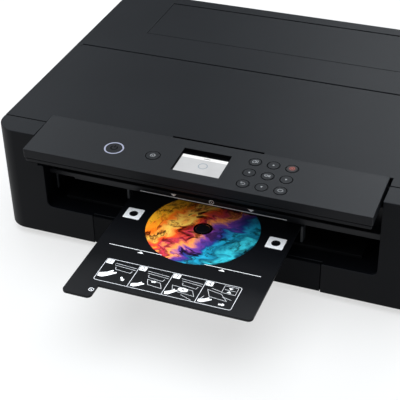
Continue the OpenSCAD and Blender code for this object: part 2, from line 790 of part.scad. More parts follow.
// Light guide posts that hang from the bar beside the disc tray
module guide_posts() color("#8f9194") {
    h1 = path_h + bar_gap;
    left = tray_left - post_gap;
    right = tray_right + fit;
    end = open_left + 1.2;
    block(left - post_t, left, bar_set + 2, bar_set + 10, h1 - post_left_h, h1);
    block(right, right + post_t, bar_set - 3, bar_set + 7, h1 - post_right_h, h1);
    block(end, end + post_end_t, bar_set + 1, bar_set + 4, h1 - post_end_h, h1 + 2.2);
}

// Disc tray with its tab, the disc's seat and hub, a finger notch and two sensing wells
module disc_tray() color("#1c1d20") {
    sense_x = tray_w / 2 - 15.5;
    difference() {
        translate([0, 0, above(tray_under)]) linear_extrude(tray_t) {
            rounded(tray_left, tray_right, behind(-tray_front), behind(tray_in), tray_r);
            rounded(tray_left, tray_left + tab_w,
                behind(-tray_front - tab_out), behind(-tray_front + 30), tray_r);
        }
        translate([tray_x, behind(-disc_ahead), above(path_h - seat_h)]) difference() {
            cylinder(r = disc_r + 0.4, h = seat_h + 1, $fn = 96);
            translate([0, 0, -1]) cylinder(r = hub_r, h = seat_h + 3);
        }
        translate([tray_x + 38, behind(-disc_ahead - 47), above(path_h - seat_h)])
            cylinder(r = 11, h = seat_h + 1);
        for (s = [-1, 1])
            translate([tray_x + s * sense_x, behind(-disc_ahead + 1), above(path_h - 0.6 * tray_t)])
                cylinder(r = sense_r, h = tray_t);
    }
}

// Disc in its seat
module disc() color("#5c7fa8") translate([tray_x, behind(-disc_ahead), above(path_h - seat_h)])
    difference() {
        cylinder(r = disc_r, h = disc_t, $fn = 96);
        translate([0, 0, -1]) cylinder(r = disc_hole_r, h = disc_t + 2);
    }

// Output tray, hollow from the front for its extension
module output_tray() color("#17181b") {
    difference() {
        block(-out_w / 2, out_w / 2, out_set, out_set + out_l, out_h, out_h + out_t);
        block(-ext_w / 2 - fit, ext_w / 2 + fit, out_set - 1, out_set + ext_l + 2,
            out_h + ext_floor, out_h + ext_floor + ext_t + 2 * fit);
        block(-45, 45, out_set - 1, out_set + 12, out_h + 2, out_h + out_t + 1);
    }
}

// Pull-out extension of the output tray, with its upturned stop
module output_extension() color("#1d1e21") {
    z = out_h + ext_floor + fit;
    block(-ext_w / 2, ext_w / 2, out_set + 1, out_set + ext_l, z, z + ext_t);
    block(-40, 40, out_set + 1, out_set + 4, z, out_h + out_t);
}

// Paper cassette: front plate with a pull, floor and walls
module paper_cassette() color("#1d1e22") translate([cassette_x, 0, 0]) {
    half = cassette_w / 2;
    inner = half - 2 - cassette_t;
    top = cassette_z + cassette_h;
    difference() {
        union() {
            block(-half, half, 0, cassette_plate, 1, sill_h - seam);
            block(-half + 2, half - 2, cassette_plate - 1, cassette_l, cassette_z, top);
        }
        block(-inner, inner, cassette_plate + cassette_t, cassette_l - cassette_t,
            cassette_z + cassette_t, top + 20);
        block(-50, 50, -1, cassette_plate - 1.5, 0, 9);
    }
}

// Edge guide on the cassette's floor
module cassette_guide(side) color("#2b2d31") translate([cassette_x, 0, 0]) {
    x = side * sheet_half;
    z = cassette_z + cassette_t + fit;
    block(min(x, x + side * 2.5), max(x, x + side * 2.5), 110, 240, z, z + 17);
    block(min(x, x - side * guide_foot), max(x, x - side * guide_foot), 150, 200, z, z + 1.6);
}

module cassette_guide_left() cassette_guide(-1);
module cassette_guide_right() cassette_guide(1);

// End stop on the cassette's floor
module cassette_end_guide() color("#2b2d31") translate([cassette_x, 0, 0]) {
    z = cassette_z + cassette_t + fit;
    d = cassette_plate + cassette_t + 4;
    block(-24, 24, d, d + 2.5, z, z + 17);
    block(-24, 24, d, d + 40, z, z + 1.6);
}

// Chassis of bent steel: two side plates, the rear rail, the pinch roller brackets and the studs
module chassis() color("#9a9da0") {
    d1 = rail_d + 24;
    difference() {
        union() {
            both_sides()
                block(chassis_half, chassis_half + plate_t, eject_axis - 14, d1, floor_t, chassis_h);
            block(-chassis_half - 1, chassis_half + 1, rail_d, rail_d + plate_t, path_h + 2, chassis_h);
            block(-chassis_half - 1, chassis_half + 1, rail_d, rail_d + 12, chassis_h - plate_t, chassis_h);
            for (x = [-pinch_half - 1, -1.5, pinch_half - 2])
                block(x, x + 3, feed_axis - 4, rail_d + 1, path_h + 2, pinch_h + 7);
            bar_across(gear_x - 1, -chassis_half, transfer_axis, roller_h, stud_r);
            bar_along(-belt_x, belt_d - 2, rail_d + 1, belt_h, motor_shaft_r);
        }
        for (d = [feed_axis, eject_axis]) bar_across(-body_w, body_w, d, roller_h, shaft_r + run);
        bar_across(-body_w, body_w, guide_d, guide_h, guide_r);
        bar_across(-chassis_half - 3, -chassis_half + 1, pinion_d, pinion_h, motor_shaft_r + 3);
        bar_along(belt_x, rail_d - 1, rail_d + plate_t + 1, belt_h, motor_shaft_r + 3);
        bar_along(belt_x, rail_d + plate_t, rail_d + 14, belt_h, motor_r + fit);
        bar_across(-pinch_half - 7, pinch_half + 7, feed_axis, pinch_h, pinch_axle_r + run);
    }
}

// Guide shaft of the carriage
module guide_shaft() color("#c4c6c8")
    bar_across(-chassis_half - plate_t - 2, chassis_half + plate_t + 2, guide_d, guide_h, guide_r);

// Carriage: cradle for the cartridges, print head below, bearing on the shaft and clamp on the belt
module carriage() color("#2c2e33") {
    x0 = park_x - carriage_w / 2;
    x1 = park_x + carriage_w / 2;
    run_h = belt_h - belt_r - belt_t / 2;
    difference() {
        union() {
            block(x0, x1, carriage_d0, carriage_d1, cradle_h, cradle_h + 32);
            block(park_x - 30, park_x + 30, carriage_d0 + 4, carriage_d0 + 40, head_h, cradle_h + 1);
            block(park_x - 8, park_x + 8, carriage_d1 - 1, belt_d + belt_w + 1, run_h - 4, run_h + 4);
        }
        for (i = [0 : ink_count - 1]) ink_place(i)
            translate([-ink_w / 2 - 0.2, -0.2, 0]) cube([ink_w + 0.4, ink_l + 0.4, ink_h]);
        block(x0 - 1, x1 + 1, carriage_d0 + 54, carriage_d1 + 1, guide_h + guide_r + 4, cradle_h + 33);
        bar_across(x0 - 1, x1 + 1, guide_d, guide_h, guide_r + run);
        block(park_x - 9, park_x + 9, belt_d - fit, belt_d + belt_w + 2,
            run_h - belt_t / 2 - fit, run_h + belt_t / 2 + fit);
    }
}

// Front lower left corner of each cartridge, on the floor of the cradle
module ink_place(i) {
    x = park_x + (i - (ink_count - 1) / 2) * ink_pitch;
    translate([x, behind(carriage_d0 + 4), above(cradle_h + 3)]) children();
}

// Ink cartridges with their finger ledges
module ink_cartridges() color("#4c5056") {
    for (i = [0 : ink_count - 1]) ink_place(i) difference() {
        translate([-ink_w / 2, 0, 0]) cube([ink_w, ink_l, ink_h]);
        translate([-ink_w / 2 - 1, -1, ink_h - 8]) cube([ink_w + 2, 7, 9]);
    }
}

// Outline of a loop round the two pulleys
module belt_loop(r) {
    for (s = [-1, 1]) translate([s * belt_x, belt_h]) circle(r);
    translate([-belt_x, belt_h - r]) square([2 * belt_x, 2 * r]);
}

// Drive belt round the two pulleys
module drive_belt() color("#101113") {
    translate([0, behind(belt_d + belt_w), above(0)]) rotate([90, 0, 0]) linear_extrude(belt_w)
    difference() {
        belt_loop(belt_r + belt_t);
        belt_loop(belt_r);
    }
}

// Pulley with the shaft of the carriage motor
module motor_pulley() color("#d0d1cf") {
    bar_along(belt_x, belt_d, belt_d + belt_w, belt_h, pulley_r);
    bar_along(belt_x, belt_d - 1, rail_d + plate_t + 12, belt_h, motor_shaft_r);
}

module idler_pulley() color("#d0d1cf") difference() {
    bar_along(-belt_x, belt_d, belt_d + belt_w, belt_h, pulley_r);
    bar_along(-belt_x, belt_d - 1, belt_d + belt_w + 1, belt_h, motor_shaft_r + run);
}

// Carriage motor behind the rail and feed motor inside the left plate
module motors() color("#7d8083") {
    difference() {
        union() {
            bar_along(belt_x, rail_d + plate_t, rail_d + plate_t + 26, belt_h, motor_r);
            bar_across(-chassis_half, -chassis_half + motor_l, pinion_d, pinion_h, motor_r);
        }
        bar_along(belt_x, rail_d, rail_d + plate_t + 14, belt_h, motor_shaft_r + run);
        bar_across(-chassis_half - 1, -chassis_half + 14, pinion_d, pinion_h, motor_shaft_r + run);
    }
}

// A spur gear that turns about X, with a tooth or, at half a pitch, a gap towards the back
module gear(teeth, d, h, bore, half_pitch) {
    pitch = 360 / teeth;
    tip = gear_m * (teeth / 2 + 0.9);
    root = gear_m * (teeth / 2 - 1.2);
    translate([gear_x, behind(d), above(h)]) rotate([90, 0, 90]) rotate(half_pitch ? pitch / 2 : 0)
        linear_extrude(gear_w) difference() {
            polygon([for (i = [0 : teeth - 1], p = [[-0.27, root], [-0.12, tip], [0.12, tip], [0.27, root]])
                p[1] * [cos((i + p[0]) * pitch), sin((i + p[0]) * pitch)]]);
            circle(bore);
        }
}

module feed_gear() color("#e4e2da") gear(feed_teeth, feed_axis, roller_h, shaft_r, false);
module eject_gear() color("#e4e2da") gear(eject_teeth, eject_axis, roller_h, shaft_r, false);
module transfer_gear() color("#e4e2da") gear(transfer_teeth, transfer_axis, roller_h, stud_r + run, true);

// Motor pinion with its shaft
module motor_pinion() color("#c9a24a") {
    gear(pinion_teeth, pinion_d, pinion_h, motor_shaft_r, true);
    bar_across(gear_x, -chassis_half + 12, pinion_d, pinion_h, motor_shaft_r);
}

// A driven roller on its shaft
module driven_roller(d) {
    bar_across(gear_x - 1, chassis_half + plate_t + 3, d, roller_h, shaft_r);
    bar_across(-chassis_half + 4, chassis_half - 4, d, roller_h, roller_r);
}

module feed_roller() color("#6d6f72") driven_roller(feed_axis);
module eject_roller() color("#3c3e41") driven_roller(eject_axis);

// Pinch rollers on one axle above the feed roller
module pinch_rollers() color("#44464a") {
    bar_across(-pinch_half, pinch_half, feed_axis, pinch_h, pinch_axle_r);
    for (x = [-98, -42, 18, 74]) bar_across(x, x + 24, feed_axis, pinch_h, pinch_r);
}

// Platen: ribbed bed of the print zone, with a well for the capping station
module platen() color("#2a2c30") {
    top = tray_under - fit;
    d0 = eject_axis + roller_r + 10;
    d1 = feed_axis - roller_r - 8;
    difference() {
        union() {
            block(-chassis_half, chassis_half, d0, d1, top - 12, top - 2);
            for (x = [-chassis_half + 12 : 16 : 110]) block(x, x + 2, d0 + 2, d1 - 2, top - 3, top);
        }
        block(park_x - 24, park_x + 30, d0 + 4, d1 - 4, top - 9, top + 1);
    }
}

// Capping station in the platen's well, with its sealing lips
module capping_station() color("#55585c") {
    top = tray_under - fit;
    d0 = eject_axis + roller_r + 14 + fit;
    d1 = feed_axis - roller_r - 12 - fit;
    difference() {
        block(park_x - 24 + fit, park_x + 30 - fit, d0, d1, top - 9, top + 1);
        for (x = [park_x - 20, park_x + 5]) block(x, x + 21, d0 + 4, d1 - 4, top - 2, top + 2);
    }
}

// Main board on edge at the left, with the port shells at the rear panel
module main_board() color("#2c5a3c") {
    x = ports[0][0] - ports[0][1] / 2 - 2;
    block(x - 1.6, x, rear_split_d - 90, body_d - wall - 1, floor_t, 98);
    block(x - 1, ports[1][0] + ports[1][1] / 2, body_d - 21, body_d - 18, port_z, port_z + 14);
    for (p = ports) difference() {
        block(p[0] - p[1] / 2, p[0] + p[1] / 2, body_d - 19, body_d - wall - fit, port_z, port_z + p[2]);
        block(p[0] - p[1] / 2 + 1.5, p[0] + p[1] / 2 - 1.5, body_d - 14, body_d,
            port_z + 2, port_z + p[2] - 2);
    }
}

// Power supply on the base pan, inside the right cover's ribs, with the inlet at the rear corner
module power_supply() color("#3a3c40") {
    supply_w = 58;
    supply_x = body_w / 2 - wall - rib_reach - 1;
    difference() {
        union() {
            block(supply_x - supply_w, supply_x, body_d - 150, body_d - 40, floor_t, 50);
            block(inlet_x - inlet_w / 2, inlet_x + inlet_w / 2, body_d - 42, body_d - 1,
                inlet_z - inlet_h / 2, inlet_z + inlet_h / 2);
        }
        block(inlet_x - inlet_w / 2 + 3, inlet_x + inlet_w / 2 - 3, body_d - 14, body_d,
            inlet_z - inlet_h / 2 + 3, inlet_z + inlet_h / 2 - 3);
    }
    for (s = [-1, 1]) bar_along(inlet_x + s * 5, body_d - 15, body_d - 4, inlet_z, 1.5);
}

base_pan();
rubber_feet();
front_frame();
side_cover_left();
side_cover_right();
rear_panel();
rear_corner_left();
rear_corner_right();
rear_deck();
top_cover();
hinge_pins();
rear_feed_cover();
paper_support();
hopper();
feed_guide_left();
feed_guide_right();
rear_access_cover();
panel_shell();
panel_base();
lcd_module();
lcd_window();
power_ring();
power_button();
home_key();
key_copies();
key_up();
key_stop();
key_left();
key_ok();
key_right();
key_back();
key_down();
key_start();
guide_bar();
guide_posts();
disc_tray();
disc();
output_tray();
output_extension();
paper_cassette();
cassette_guide_left();
cassette_guide_right();
cassette_end_guide();
chassis();
guide_shaft();
carriage();
ink_cartridges();
drive_belt();
motor_pulley();
idler_pulley();
motors();
feed_roller();
feed_gear();
eject_roller();
eject_gear();
transfer_gear();
motor_pinion();
pinch_rollers();
platen();
capping_station();
main_board();
power_supply();
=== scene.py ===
import json
import math
import bpy
from mathutils import Matrix, Vector

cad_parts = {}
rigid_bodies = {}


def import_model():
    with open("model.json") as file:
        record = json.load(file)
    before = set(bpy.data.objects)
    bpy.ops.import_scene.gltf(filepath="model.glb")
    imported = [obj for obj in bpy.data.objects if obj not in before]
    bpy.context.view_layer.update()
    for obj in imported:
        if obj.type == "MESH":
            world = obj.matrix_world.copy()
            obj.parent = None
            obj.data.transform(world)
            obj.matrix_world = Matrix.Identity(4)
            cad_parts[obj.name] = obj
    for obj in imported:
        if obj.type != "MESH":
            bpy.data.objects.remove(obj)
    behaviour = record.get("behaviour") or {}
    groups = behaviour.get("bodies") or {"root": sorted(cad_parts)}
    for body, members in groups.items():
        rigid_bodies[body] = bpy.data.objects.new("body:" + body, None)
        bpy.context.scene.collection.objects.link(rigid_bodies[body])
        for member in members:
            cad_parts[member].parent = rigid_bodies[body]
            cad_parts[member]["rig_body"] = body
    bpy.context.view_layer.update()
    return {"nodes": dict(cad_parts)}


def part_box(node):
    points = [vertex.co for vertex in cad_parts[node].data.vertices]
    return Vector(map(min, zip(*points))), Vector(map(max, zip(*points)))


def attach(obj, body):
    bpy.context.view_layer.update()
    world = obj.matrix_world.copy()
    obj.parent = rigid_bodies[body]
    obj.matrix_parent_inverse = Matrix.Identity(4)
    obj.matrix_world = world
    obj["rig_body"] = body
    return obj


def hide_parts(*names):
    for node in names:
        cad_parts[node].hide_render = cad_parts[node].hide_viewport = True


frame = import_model()


# Base pan and feet
# The floor of the casing is moulded in one piece from black ABS, with runners for the cassette.
# Four rubber feet are pressed on below it.
MM = 0.001
CLOUD_MM = 1000 / 9
MERGE_MM = 0.002
FLAT_ANGLE = math.radians(0.5)
EDGE_ANGLE = math.radians(40)
EDGE_STEPS = 2
SMOOTH_ANGLE = math.radians(35)


def linear(code):
    """An sRGB hex colour as linear red, green, blue and alpha."""
    parts = [int(code[i:i + 2], 16) / 255 for i in (1, 3, 5)]
    curve = [c / 12.92 if c <= 0.04045 else ((c + 0.055) / 1.055) ** 2.4 for c in parts]
    return tuple(curve) + (1.0,)


def new_material(name):
    """A new material, with its node tree and its shader."""
    made = bpy.data.materials.new(name)
    made.use_nodes = True
    return made, made.node_tree, made.node_tree.nodes["Principled BSDF"]


def feed(tree, node, inputs):
    """Gives a node's sockets their values, or links them."""
    for key, value in inputs.items():
        if isinstance(value, bpy.types.NodeSocket):
            tree.links.new(value, node.inputs[key])
        else:
            node.inputs[key].default_value = value


def add_node(tree, kind, inputs=None, stops=None, **settings):
    """Adds a shader node with its settings, its inputs and its ramp's colour stops."""
    made = tree.nodes.new(kind)
    for key, value in settings.items():
        setattr(made, key, value)
    feed(tree, made, inputs or {})
    if stops:
        ramp = made.color_ramp.elements
        ramp.remove(ramp[1])
        ramp[0].position, ramp[0].color = stops[0]
        for place, colour in stops[1:]:
            ramp.new(place).color = colour
    return made


def moulded_plastic(name, colour, worn, roughness, grain_mm=0.9, depth_mm=0.03, level=0.4):
    """Injection-moulded plastic: an even colour that clouds a little, under a spark-eroded grain.
    The real grain is about 0.2 mm; it is drawn coarser so that it shows."""
    made, tree, shader = new_material(name)
    place = add_node(tree, "ShaderNodeTexCoord").outputs["Object"]
    cloud = add_node(tree, "ShaderNodeTexNoise",
                     {"Vector": place, "Scale": 1000 / CLOUD_MM, "Detail": 3.0})
    tint = add_node(tree, "ShaderNodeValToRGB", {"Fac": cloud.outputs["Fac"]},
                    stops=[(0.35, linear(colour)), (0.7, linear(worn))])
    grain = add_node(tree, "ShaderNodeTexNoise",
                     {"Vector": place, "Scale": 1000 / grain_mm, "Detail": 2.0, "Roughness": 0.6})
    gloss = add_node(tree, "ShaderNodeMapRange",
                     {"Value": grain.outputs["Fac"], "To Min": roughness - 0.05,
                      "To Max": roughness + 0.07})
    bump = add_node(tree, "ShaderNodeBump",
                    {"Height": grain.outputs["Fac"], "Distance": depth_mm * MM, "Strength": 0.35})
    feed(tree, shader, {"IOR": 1.5, "Specular IOR Level": level,
                        "Base Color": tint.outputs["Color"],
                        "Roughness": gloss.outputs["Result"],
                        "Normal": bump.outputs["Normal"]})
    return made


def dress(node, material):
    """Gives a CAD node its finish."""
    slots = frame["nodes"][node].data.materials
    slots.clear()
    slots.append(material)


def soften(node, material, edge_mm):
    """A merged copy of a CAD node with its edges rounded, as a mould leaves them.
    It stands for the node."""
    source = frame["nodes"][node]
    piece = bpy.data.objects.new(node + "_moulding", source.data.copy())
    bpy.context.scene.collection.objects.link(piece)
    bpy.ops.object.select_all(action="DESELECT")
    piece.select_set(True)
    bpy.context.view_layer.objects.active = piece
    bpy.ops.object.mode_set(mode="EDIT")
    bpy.ops.mesh.select_all(action="SELECT")
    bpy.ops.mesh.remove_doubles(threshold=MERGE_MM * MM)
    bpy.ops.mesh.dissolve_limited(angle_limit=FLAT_ANGLE)
    bpy.ops.object.mode_set(mode="OBJECT")
    bpy.ops.object.modifier_add(type="BEVEL")
    bevel = piece.modifiers[-1]
    bevel.width, bevel.segments = edge_mm * MM, EDGE_STEPS
    bevel.limit_method, bevel.angle_limit = "ANGLE", EDGE_ANGLE
    bevel.use_clamp_overlap = False
    bpy.ops.object.modifier_apply(modifier=bevel.name)
    bpy.ops.object.shade_smooth_by_angle(angle=SMOOTH_ANGLE)
    bpy.ops.object.modifier_add(type="WEIGHTED_NORMAL")
    piece.modifiers[-1].keep_sharp = True
    bpy.ops.object.modifier_apply(modifier=piece.modifiers[-1].name)
    piece.data.materials.clear()
    piece.data.materials.append(material)
    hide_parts(node)
    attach(piece, source["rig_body"])
    return piece


# Matt black: the grain breaks up the little that the plastic reflects.
black_abs = moulded_plastic("black ABS, matt", "#08090b", "#0b0c0e", 0.55, level=0.1)
# Rubber is a touch greyer, and dull all over.
soft_rubber = moulded_plastic("nitrile rubber", "#0c0c0d", "#131314", 0.75, 0.6, 0.05, 0.2)
dress("base_pan", black_abs)
soften("rubber_feet", soft_rubber, 0.8)


# Power supply and main board
# The supply is a closed ABS block with the mains inlet; the board is green laminate on edge.
# The board's port shells, bent from plated sheet and lined with black, stand at the rear panel,
# with a nylon tongue in the square one. The inlet's two pins are plated too.
LAMINATE_MM = 2.2
# Each port's middle, across and up from the board's low corner, and half its width and height.
SQUARE_PORT = (11.1, 27.0, 6.2, 6.2)
FLAT_PORT = (35.1, 26.0, 7.2, 5.2)
PORT_MOUTH, PORT_DEPTH = 0.2, 11.2
# The pins' places, across and up from the supply's low corner.
PINS_ACROSS, PINS_UP = (27.5, 37.5), 23.0
PIN_REACH, PIN_HALF = 12.9, 1.7
TONGUE_SIZE, TONGUE_BACK, TONGUE_EDGE = (6.4, 8.4, 4.6), 6.6, 0.7
supply_low, supply_high = [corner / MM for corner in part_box("power_supply")]
board_low, board_high = [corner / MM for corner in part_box("main_board")]


def plated_metal(name, colour, shade, roughness, streak_mm=(40, 0.8, 0.8)):
    """Bare or plated metal with fine streaks along its working direction."""
    made, tree, shader = new_material(name)
    place = add_node(tree, "ShaderNodeTexCoord").outputs["Object"]
    along = add_node(tree, "ShaderNodeMapping",
                     {"Vector": place, "Scale": tuple(1000 / s for s in streak_mm)})
    streak = add_node(tree, "ShaderNodeTexNoise",
                      {"Vector": along.outputs["Vector"], "Scale": 1.0, "Detail": 3.0})
    tint = add_node(tree, "ShaderNodeValToRGB", {"Fac": streak.outputs["Fac"]},
                    stops=[(0.3, linear(shade)), (0.7, linear(colour))])
    gloss = add_node(tree, "ShaderNodeMapRange",
                     {"Value": streak.outputs["Fac"], "To Min": roughness - 0.08,
                      "To Max": roughness + 0.08})
    feed(tree, shader, {"Metallic": 1.0, "Base Color": tint.outputs["Color"],
                        "Roughness": gloss.outputs["Result"]})
    return made


def refinish(piece, material, chosen):
    """Gives the chosen faces of a moulding another finish."""
    piece.data.materials.append(material)
    for side in piece.data.polygons:
        if chosen(side):
            side.material_index = len(piece.data.materials) - 1


def in_port(side):
    """Whether a face of the board's moulding lies inside a port."""
    spot = side.center / MM - board_low
    behind = board_high.y - side.center.y / MM
    return PORT_MOUTH < behind < PORT_DEPTH and any(
        abs(spot.x - x) < half_wide and abs(spot.z - z) < half_high
        for x, z, half_wide, half_high in (SQUARE_PORT, FLAT_PORT))


def on_pin(side):
    """Whether a face of the supply's moulding belongs to a pin of the inlet."""
    spot = side.center / MM - supply_low
    behind = supply_high.y - side.center.y / MM
    return (behind < PIN_REACH and abs(spot.z - PINS_UP) < PIN_HALF
            and any(abs(spot.x - x) < PIN_HALF for x in PINS_ACROSS))


# Smooth green resin with a low shine.
laminate = moulded_plastic("green laminate", "#16351f", "#1d4228", 0.4, 1.6, 0.02, 0.5)
# A cool grey sheet, whose reflections are drawn out in long faint streaks by rolling.
zinc_steel = plated_metal("zinc-plated steel sheet", "#9b9fa2", "#85898c", 0.4)
# Pale and slightly waxy.
port_nylon = moulded_plastic("nylon, port tongue", "#a9a8a2", "#b6b5af", 0.45, 1.2, 0.01, 0.4)
supply = soften("power_supply", black_abs, 0.4)
board = soften("main_board", laminate, 0.2)
refinish(board, zinc_steel, lambda side: side.center.x / MM > board_low.x + LAMINATE_MM)
refinish(board, black_abs, in_port)
refinish(supply, zinc_steel, on_pin)
bpy.ops.object.select_all(action="DESELECT")
bpy.ops.mesh.primitive_cube_add(size=1.0)
tongue = bpy.context.object
tongue.name = "port_tongue"
tongue_mid = Vector((board_low.x + SQUARE_PORT[0], board_high.y - TONGUE_BACK,
                     board_low.z + SQUARE_PORT[1]))
tongue.data.transform(Matrix.Translation(tongue_mid * MM)
                      @ Matrix.Diagonal([side * MM for side in TONGUE_SIZE] + [1.0]))
bpy.ops.object.modifier_add(type="BEVEL")
tongue.modifiers[-1].width, tongue.modifiers[-1].segments = TONGUE_EDGE * MM, EDGE_STEPS
bpy.ops.object.modifier_apply(modifier=tongue.modifiers[-1].name)
bpy.ops.object.shade_smooth_by_angle(angle=SMOOTH_ANGLE)
tongue.data.materials.append(port_nylon)
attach(tongue, frame["nodes"]["main_board"]["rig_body"])


# Chassis
# Two side plates, the rear rail and its brackets stand on the base pan and carry the mechanism.
# They are bent from the same zinc-plated steel sheet as the port shells.
dress("chassis", zinc_steel)


# Rollers, gears and motors
# The feed roller is ground steel with a grit coat, the eject and pinch rollers are rubber.
# Gears are moulded from off-white acetal, and the motor's pinion is turned brass.

# Bright bars with fine rings round them from grinding.
ground_steel = plated_metal("ground steel", "#b4b6b8", "#a2a4a6", 0.25, (0.7, 60, 60))
# Smooth, pale and a little waxy.
acetal = moulded_plastic("acetal, off-white", "#cfcdc4", "#d9d7cf", 0.35, 1.2, 0.01, 0.5)
# Warm yellow metal with rings from the lathe.
turned_brass = plated_metal("turned brass", "#b08d3f", "#97762f", 0.3, (0.6, 30, 30))
# Darker than the sheet, with a soft sheen.
motor_can = plated_metal("zinc-plated motor can", "#6f7275", "#5f6265", 0.35)
# Dark grey rubber, ground dull.
roller_rubber = moulded_plastic("EPDM roller rubber", "#1c1d1f", "#242527", 0.7, 0.8, 0.04, 0.25)
dress("feed_roller", ground_steel)
dress("eject_roller", roller_rubber)
dress("pinch_rollers", roller_rubber)
for gear in ("feed_gear", "eject_gear", "transfer_gear", "motor_pulley", "idler_pulley"):
    dress(gear, acetal)
dress("motor_pinion", turned_brass)
dress("motors", motor_can)
dress("platen", black_abs)


# Print carriage
# A black ABS cradle on a ground shaft carries the cartridges; a rubber belt pulls it along.
# The capping station in the platen has soft sealing lips.

# Dark smooth cases with more gloss than the cradle.
ink_case = moulded_plastic("polypropylene cartridge case", "#2b2d31", "#34363a", 0.3,
                           1.5, 0.01, 0.5)
dress("guide_shaft", ground_steel)
dress("drive_belt", roller_rubber)
dress("capping_station", soft_rubber)
soften("carriage", black_abs, 0.6)
soften("ink_cartridges", ink_case, 0.8)


# Rear feed
# The hopper lies under the feed cover, and two guides slide on it to the width of the paper.
# All three are black ABS mouldings.
dress("hopper", black_abs)
for guide in ("feed_guide_left", "feed_guide_right"):
    soften(guide, black_abs, 0.5)


# Casing
# Front frame, side covers and rear panel are dark ABS with a fine grain, clipped to the base pan.
# The hinge pins are black ABS like the pan, moulded apart and pressed in.
TOP_TILT, BEVEL_TILT = 0.6, 0.3
# Nearly black sides with a faint sheen.
casing_abs = moulded_plastic("charcoal ABS, grained", "#050609", "#07080b", 0.45, level=0.085)
# A lighter copy of the charcoal ABS for the faces turned up: painted light on the top, which has the
# broad sheen of a satin mould.
lit_top_abs = moulded_plastic("charcoal ABS, top, painted lighter", "#0d0f12", "#101215", 0.42, level=0.095)
# A near-black copy for the walls deep in seams and recesses: painted shade, where hardly any light
# reaches.
seam_painted_shade = moulded_plastic("black ABS, painted shade on seam walls", "#030304", "#050506", 0.6, level=0.02)
frame_low, frame_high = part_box("front_frame")


def on_frame_top(side):
    """Whether a face belongs to the front frame's top or to the bevel along its sill. Both take the
    lighter copy: painted light on the top, a painted highlight on the bevel.
    """
    top = side.normal.z > TOP_TILT and side.center.z > frame_high.z - MM
    return top or side.normal.z > BEVEL_TILT and side.normal.y < -BEVEL_TILT


# The frame's top takes the lighter copy as painted light, and its sill bevel as a painted highlight.
refinish(soften("front_frame", casing_abs, 0.7), lit_top_abs, on_frame_top)
for cover in ("side_cover_left", "side_cover_right", "rear_panel", "rear_corner_left",
              "rear_corner_right"):
    soften(cover, casing_abs, 0.7)
soften("rear_access_cover", casing_abs, 0.4)
dress("hinge_pins", black_abs)


# Top covers
# Lid, rear deck and feed cover, moulded in ABS, form one flat satin top. The lid's hinge barrel
# lies at its back edge, and the paper support slides in channels under the feed cover.
soften("rear_deck", lit_top_abs, 0.5)
lid = soften("top_cover", lit_top_abs, 0.5)
# The lid's front faces, down in its seam with the front strip, take the near-black copy: painted
# shade.
refinish(lid, seam_painted_shade, lambda side: side.normal.y < -BEVEL_TILT)
soften("rear_feed_cover", lit_top_abs, 0.4)
soften("paper_support", black_abs, 0.5)


# Control panel
# Two satin ABS shells, clipped together with a groove between, turn on pins in the front frame.
# The keys are flush caps of the same plastic in round holes.
GROOVE_DEPTH, FACE_RIM = 1.2, 3.0
FRONT_TILT, WALL_TILT = 0.8, 0.5
# The face has the grey of the top and shines a little more; the keys match it.
panel_abs = moulded_plastic("grey ABS, satin", "#0d0f12", "#101215", 0.42, level=0.15)
key_abs = moulded_plastic("grey ABS, key caps", "#0d0f12", "#101215", 0.42, level=0.15)
# A darker, duller copy for the panel's front faces and its lower shell: painted shade.
shaded_front_abs = moulded_plastic("charcoal ABS, panel front, painted shade", "#090a0d", "#0c0d10", 0.5, level=0.13)
panel_shell = soften("panel_shell", panel_abs, 0.4)
panel_base = soften("panel_base", shaded_front_abs, 0.4)
base_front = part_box("panel_base")[0].y
shell_low, shell_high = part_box("panel_shell")


def in_groove(side):
    """Whether a face of the lower shell lies in the groove or behind it."""
    return side.normal.z > WALL_TILT or side.center.y > base_front + GROOVE_DEPTH * MM


def in_recess(side):
    """Whether a face of the upper shell is a wall of the display's recess or of a key hole."""
    rim = FACE_RIM * MM
    return (abs(side.normal.z) < WALL_TILT
            and shell_low.x + rim < side.center.x < shell_high.x - rim
            and shell_low.y + rim < side.center.y < shell_high.y - rim)


# Painted shade: the upper shell's front faces take the darker copy.
refinish(panel_shell, shaded_front_abs, lambda side: side.normal.y < -FRONT_TILT)
# Painted shade in the groove and on the walls of the display's recess and the key holes.
refinish(panel_base, seam_painted_shade, in_groove)
refinish(panel_shell, seam_painted_shade, in_recess)
key_names = [node for node in frame["nodes"] if node.startswith("key_")]
for node in key_names + ["home_key", "power_button"]:
    soften(node, key_abs, 0.35)


# Key marks
# Small marks are pad-printed on the caps in pale grey ink, the stop mark in red.
# The ink is a few hundredths of a millimetre thick and lies on the plastic.
INK_LIFT = 0.03 * MM
INK_BLOTCH_MM = 10 / 7
PANEL_SLOPE = math.radians(2.0)
KEY_R, HOME_R, POWER_R = 6.1, 7.2, 8.9
KEY_LINE, STOP_LINE, POWER_LINE = 0.42, 0.55, 1.4
STOP_FIELD_R, STOP_R, STOP_HALF = 4.6, 2.5, 0.7
POWER_MARK_R, POWER_BAR_LOW, POWER_BAR_TOP = 3.5, 0.6, 4.4
OK_SIZE = 4.8
CORNER_STEPS = 5
SHARPEST = 0.4
FINE, COARSE = 48, 16
panel_turn = Matrix.Rotation(PANEL_SLOPE, 4, "X")
lift = Matrix.Translation((0, 0, INK_LIFT))


